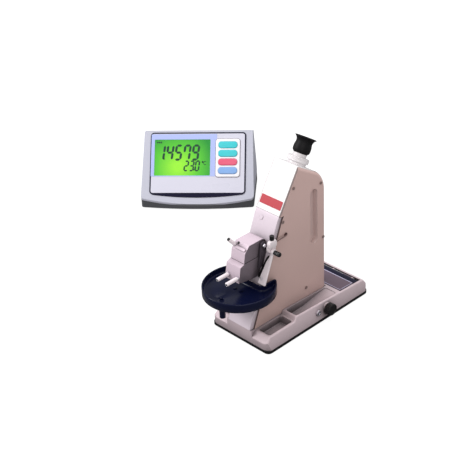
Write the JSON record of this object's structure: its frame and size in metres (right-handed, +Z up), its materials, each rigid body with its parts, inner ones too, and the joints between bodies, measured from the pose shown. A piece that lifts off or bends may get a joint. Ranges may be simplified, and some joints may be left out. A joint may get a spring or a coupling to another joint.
{
  "type": "abbe refractometer",
  "caption": "Bench refractometer with a hinged prism box, tilted eyepiece, drip dish, side lamp and a separate sloping display console.",
  "frame": {"origin": "middle of the bench area that the instrument and its console cover, on the bench", "axes": "+Z up, +Y towards the back of the instrument, +X towards its measuring knob; the console stands to the left at the back, turned about Z"},
  "size_m": [0.589, 0.4526, 0.3061],
  "materials": {
    "warm_grey_paint": "satin, fine texture",
    "white_paint": "satin",
    "mauve_paint": "satin",
    "dark_plate": "satin",
    "black_rubber": "matt",
    "steel": "turned",
    "brass": "machined",
    "white_plastic": "satin",
    "black_plastic": "satin",
    "circuit_board": "solder mask",
    "cast_aluminium": "cast",
    "prism_metal": "satin",
    "plated_brass": "plated",
    "optical_glass": "polished",
    "mirror_glass": "polished",
    "navy_enamel": "gloss",
    "red_film": "gloss",
    "console_grey": "fine texture",
    "console_dark": "fine texture",
    "panel_film": "film",
    "lcd_green": "back-lit",
    "key_teal": "film",
    "key_red": "film",
    "key_blue": "film"
  },
  "bodies": {
    "instrument": {"feet": "black_rubber", "bottom_plate": "dark_plate", "bottom_screws": "steel", "base_casting": "warm_grey_paint", "lid_hinge_pin": "steel", "connector_socket": "steel", "shaft_bush": "brass", "encoder_board": "circuit_board", "tower_frame": "cast_aluminium", "machine_screws": "steel", "right_side_cover": "warm_grey_paint", "left_side_cover": "warm_grey_paint", "front_cover": "white_paint", "front_panel": "mauve_paint", "label_band": "red_film", "panel_plug": "black_plastic", "telescope_tube": "cast_aluminium", "objective_lens": "optical_glass", "reticle": "optical_glass", "eyepiece_socket": "black_plastic", "prism_mount": "cast_aluminium", "lower_prism_box": "prism_metal", "main_prism": "optical_glass", "prism_hinge_pin": "steel", "lower_hose_nipples": "plated_brass", "drip_dish": "navy_enamel", "dish_bracket": "cast_aluminium", "lamp_bracket": "cast_aluminium", "lamp_pivot_pin": "steel", "cable_grommet": "black_plastic", "lamp_lead": "black_plastic", "console_housing": "console_grey", "console_base": "console_dark", "console_board": "circuit_board", "display_panel": "panel_film", "display_glass": "lcd_green", "keypad_frame": "panel_film"},
    "measuring_knob": {"measuring_knob": "black_plastic", "pinion_shaft": "steel", "encoder_disc": "black_plastic"},
    "mirror_drive": {"sector_arm": "brass", "mirror_shaft": "steel", "mirror": "mirror_glass"},
    "prism_lid": {"upper_prism_box": "prism_metal", "illuminating_prism": "optical_glass", "upper_hose_nipple": "plated_brass", "grip_bar": "prism_metal"},
    "dioptre_ring": {"dioptre_ring": "white_plastic"},
    "eyepiece": {"eyepiece_barrel": "white_plastic", "eyepiece_lens": "optical_glass", "eyecup": "black_rubber"},
    "lamp": {"lamp_arm": "prism_metal", "lamp_lens": "optical_glass"},
    "lamp_swing_knob": {"lamp_swing_knob": "black_plastic"},
    "lamp_lock_knob": {"lamp_lock_knob": "black_plastic"},
    "rear_lid": {"rear_lid": "mauve_paint"},
    "key_1": {"key_1": "key_teal"},
    "key_2": {"key_2": "key_teal"},
    "key_3": {"key_3": "key_red"},
    "key_4": {"key_4": "key_blue"}
  },
  "joints": [
    {"name": "measuring_knob_turn", "type": "hinge", "parent": "instrument", "child": "measuring_knob", "pos_m": [0.28129, -0.03357, 0.01999], "axis": [1, 0, 0], "range_deg": [-150, 150]},
    {"name": "mirror_tilt", "type": "hinge", "parent": "instrument", "child": "mirror_drive", "pos_m": [0.23179, -0.10815, 0.142], "axis": [1, 0, 0], "range_deg": [-6.6, 6.6]},
    {"name": "prism_lid_open", "type": "hinge", "parent": "instrument", "child": "prism_lid", "pos_m": [0.22129, -0.13057, 0.1635], "axis": [-1, 0, 0], "range_deg": [0, 80]},
    {"name": "dioptre_ring_turn", "type": "hinge", "parent": "instrument", "child": "dioptre_ring", "pos_m": [0.22129, -0.03667, 0.2591], "axis": [0, 0.521, 0.8536], "range_deg": [-60, 60]},
    {"name": "eyepiece_focus", "type": "slide", "parent": "instrument", "child": "eyepiece", "axis": [0, 0.521, 0.8536], "range_m": [-0.00106, 0.00106]},
    {"name": "lamp_swing", "type": "hinge", "parent": "instrument", "child": "lamp", "pos_m": [0.25329, -0.12207, 0.153], "axis": [-1, 0, 0], "range_deg": [0, 60]},
    {"name": "lamp_swing_knob_turn", "type": "hinge", "parent": "instrument", "child": "lamp_swing_knob", "pos_m": [0.25429, -0.12207, 0.153], "axis": [1, 0, 0], "range_deg": [-180, 180]},
    {"name": "lamp_lock_knob_turn", "type": "hinge", "parent": "instrument", "child": "lamp_lock_knob", "pos_m": [0.24919, -0.12207, 0.173], "axis": [0, 0, 1], "range_deg": [-180, 180]},
    {"name": "rear_lid_open", "type": "hinge", "parent": "instrument", "child": "rear_lid", "pos_m": [0.22129, 0.05033, 0.02606], "axis": [-1, 0, 0], "range_deg": [0, 100]},
    {"name": "key_1_press", "type": "slide", "parent": "instrument", "child": "key_1", "axis": [-0.4944, 0.5549, -0.6691], "range_m": [0, 0.0008], "stiffness_N_per_m": 800, "springref_m": -0.001},
    {"name": "key_2_press", "type": "slide", "parent": "instrument", "child": "key_2", "axis": [-0.4944, 0.5549, -0.6691], "range_m": [0, 0.0008], "stiffness_N_per_m": 800, "springref_m": -0.001},
    {"name": "key_3_press", "type": "slide", "parent": "instrument", "child": "key_3", "axis": [-0.4944, 0.5549, -0.6691], "range_m": [0, 0.0008], "stiffness_N_per_m": 800, "springref_m": -0.001},
    {"name": "key_4_press", "type": "slide", "parent": "instrument", "child": "key_4", "axis": [-0.4944, 0.5549, -0.6691], "range_m": [0, 0.0008], "stiffness_N_per_m": 800, "springref_m": -0.001}
  ],
  "couplings": [
    {"joint": "mirror_tilt", "follows": "measuring_knob_turn", "ratio": -0.043796},
    {"joint": "eyepiece_focus", "follows": "dioptre_ring_turn", "m_per_rad": 0.001}
  ]
}
